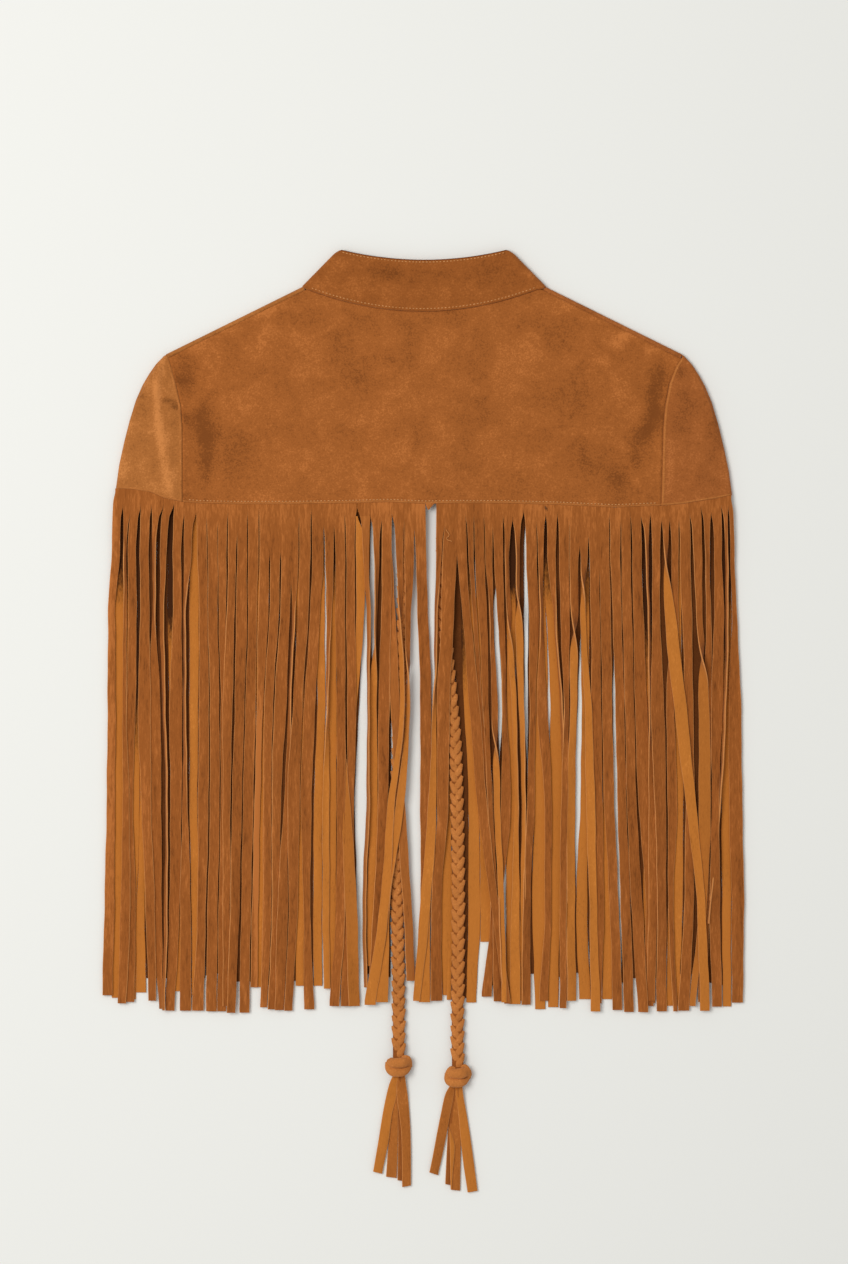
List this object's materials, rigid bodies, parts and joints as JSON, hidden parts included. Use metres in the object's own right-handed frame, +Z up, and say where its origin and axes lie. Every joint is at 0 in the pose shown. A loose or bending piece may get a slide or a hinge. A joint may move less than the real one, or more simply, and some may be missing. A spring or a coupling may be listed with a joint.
{
  "type": "suede fringe cape",
  "caption": "Short cape with a stand collar, cap sleeves, a long strand fringe round the hem and braided neck ties ending in tassels, laid flat.",
  "frame": {"origin": "centre of the garment's base on the surface it lies on, without its ties", "axes": "+Z up from the surface, +Y from the fringe towards the collar, +X towards the wearer's right; the cape lies face down"},
  "size_m": [0.4814, 0.7064, 0.012],
  "materials": {
    "suede_outer": "tan brown suede, matte brushed nap, mottled",
    "suede_collar": "slightly darker tan suede, matte brushed nap",
    "suede_fringe": "matte brown suede outside, smoother orange tan inside",
    "suede_braid": "narrow suede strips, plaited, slightly rubbed"
  },
  "bodies": {
    "root": {"back_yoke": "suede_outer", "sleeve_left": "suede_outer", "sleeve_right": "suede_outer", "front_left": "suede_outer", "front_right": "suede_outer", "collar": "suede_collar", "fringe_back_left": "suede_fringe", "fringe_back_right": "suede_fringe", "fringe_front_left": "suede_fringe", "fringe_front_right": "suede_fringe", "tie_left": "suede_braid", "tie_right": "suede_braid", "knot_left": "suede_braid", "knot_right": "suede_braid", "tassel_left": "suede_braid", "tassel_right": "suede_braid"}
  },
  "joints": []
}
